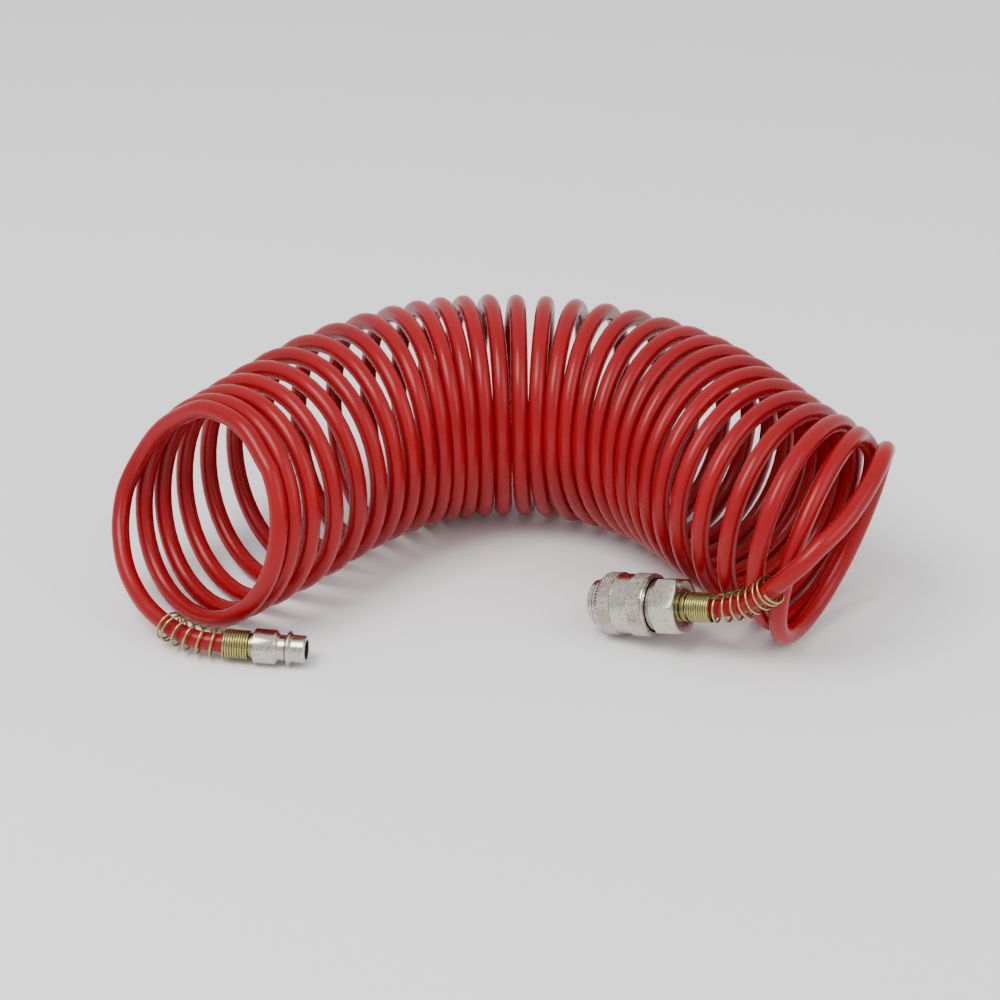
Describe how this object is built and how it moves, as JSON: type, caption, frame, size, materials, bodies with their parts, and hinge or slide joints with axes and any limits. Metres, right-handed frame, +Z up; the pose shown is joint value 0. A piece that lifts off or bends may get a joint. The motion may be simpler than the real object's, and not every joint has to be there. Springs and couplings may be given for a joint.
{
  "type": "coiled air hose",
  "caption": "Coiled recoil air hose lying in an arc, with a male quick-connect plug and a knurled quick-release coupler on sprung hose ends.",
  "frame": {"origin": "middle of the footprint, on the ground the hose lies on", "axes": "+X along the chord of the arc from the plug's end to the coupler's end, +Y to the arc's outer side, +Z up"},
  "size_m": [0.278, 0.1752, 0.0838],
  "materials": {
    "hose_coil": "glossy red moulded hose",
    "hose_lead_plug": "glossy red moulded hose",
    "hose_lead_coupler": "glossy red moulded hose",
    "plug_body": "bright nickel plate on turned steel",
    "plug_hose_tail": "yellow zinc plate",
    "plug_spring_guard": "yellow zinc plated wire",
    "coupler_body": "bright nickel plate on turned steel",
    "coupler_hex_adapter": "bright nickel plate on turned steel",
    "coupler_hose_tail": "yellow zinc plate",
    "coupler_spring_guard": "yellow zinc plated wire",
    "sleeve_snap_ring": "plain spring steel",
    "sleeve_spring": "plain spring steel",
    "plug_seal": "black rubber",
    "body_seal": "black rubber",
    "valve_spring": "plain spring steel",
    "coupler_sleeve": "nickel plate, diamond knurled bands",
    "valve_poppet": "turned brass",
    "valve_seal": "black rubber",
    "locking_ball_1": "polished hardened steel",
    "locking_ball_2": "polished hardened steel",
    "locking_ball_3": "polished hardened steel",
    "locking_ball_4": "polished hardened steel",
    "locking_ball_5": "polished hardened steel",
    "locking_ball_6": "polished hardened steel"
  },
  "bodies": {
    "hose_and_fittings": {"hose_coil": "hose_coil", "hose_lead_plug": "hose_lead_plug", "hose_lead_coupler": "hose_lead_coupler", "plug_body": "plug_body", "plug_hose_tail": "plug_hose_tail", "plug_spring_guard": "plug_spring_guard", "coupler_body": "coupler_body", "coupler_hex_adapter": "coupler_hex_adapter", "coupler_hose_tail": "coupler_hose_tail", "coupler_spring_guard": "coupler_spring_guard", "sleeve_snap_ring": "sleeve_snap_ring", "sleeve_spring": "sleeve_spring", "plug_seal": "plug_seal", "body_seal": "body_seal", "valve_spring": "valve_spring"},
    "sleeve": {"coupler_sleeve": "coupler_sleeve"},
    "valve": {"valve_poppet": "valve_poppet", "valve_seal": "valve_seal"},
    "ball_1": {"locking_ball_1": "locking_ball_1"},
    "ball_2": {"locking_ball_2": "locking_ball_2"},
    "ball_3": {"locking_ball_3": "locking_ball_3"},
    "ball_4": {"locking_ball_4": "locking_ball_4"},
    "ball_5": {"locking_ball_5": "locking_ball_5"},
    "ball_6": {"locking_ball_6": "locking_ball_6"}
  },
  "joints": [
    {"name": "sleeve_slide", "type": "slide", "parent": "hose_and_fittings", "child": "sleeve", "axis": [0.8474, -0.4794, 0.2284], "range_m": [0, 0.0024], "stiffness_N_per_m": 500, "springref_m": -0.002, "deforming": ["sleeve_spring"]},
    {"name": "valve_slide", "type": "slide", "parent": "hose_and_fittings", "child": "valve", "axis": [0.8474, -0.4794, 0.2284], "range_m": [0, 0.003], "stiffness_N_per_m": 400, "springref_m": -0.002, "deforming": ["valve_spring"]},
    {"name": "ball_1_slide", "type": "slide", "parent": "hose_and_fittings", "child": "ball_1", "axis": [-0.4924, -0.8704, 0], "range_m": [0, 0.0009]},
    {"name": "ball_2_slide", "type": "slide", "parent": "hose_and_fittings", "child": "ball_2", "axis": [-0.4183, -0.3378, 0.8431], "range_m": [0, 0.0009]},
    {"name": "ball_3_slide", "type": "slide", "parent": "hose_and_fittings", "child": "ball_3", "axis": [0.0741, 0.5326, 0.8431], "range_m": [0, 0.0009]},
    {"name": "ball_4_slide", "type": "slide", "parent": "hose_and_fittings", "child": "ball_4", "axis": [0.4924, 0.8704, 0], "range_m": [0, 0.0009]},
    {"name": "ball_5_slide", "type": "slide", "parent": "hose_and_fittings", "child": "ball_5", "axis": [0.4183, 0.3378, -0.8431], "range_m": [0, 0.0009]},
    {"name": "ball_6_slide", "type": "slide", "parent": "hose_and_fittings", "child": "ball_6", "axis": [-0.0741, -0.5326, -0.8431], "range_m": [0, 0.0009]}
  ],
  "couplings": [
    {"joint": "ball_1_slide", "follows": "sleeve_slide", "ratio": 0.375},
    {"joint": "ball_2_slide", "follows": "sleeve_slide", "ratio": 0.375},
    {"joint": "ball_3_slide", "follows": "sleeve_slide", "ratio": 0.375},
    {"joint": "ball_4_slide", "follows": "sleeve_slide", "ratio": 0.375},
    {"joint": "ball_5_slide", "follows": "sleeve_slide", "ratio": 0.375},
    {"joint": "ball_6_slide", "follows": "sleeve_slide", "ratio": 0.375}
  ]
}
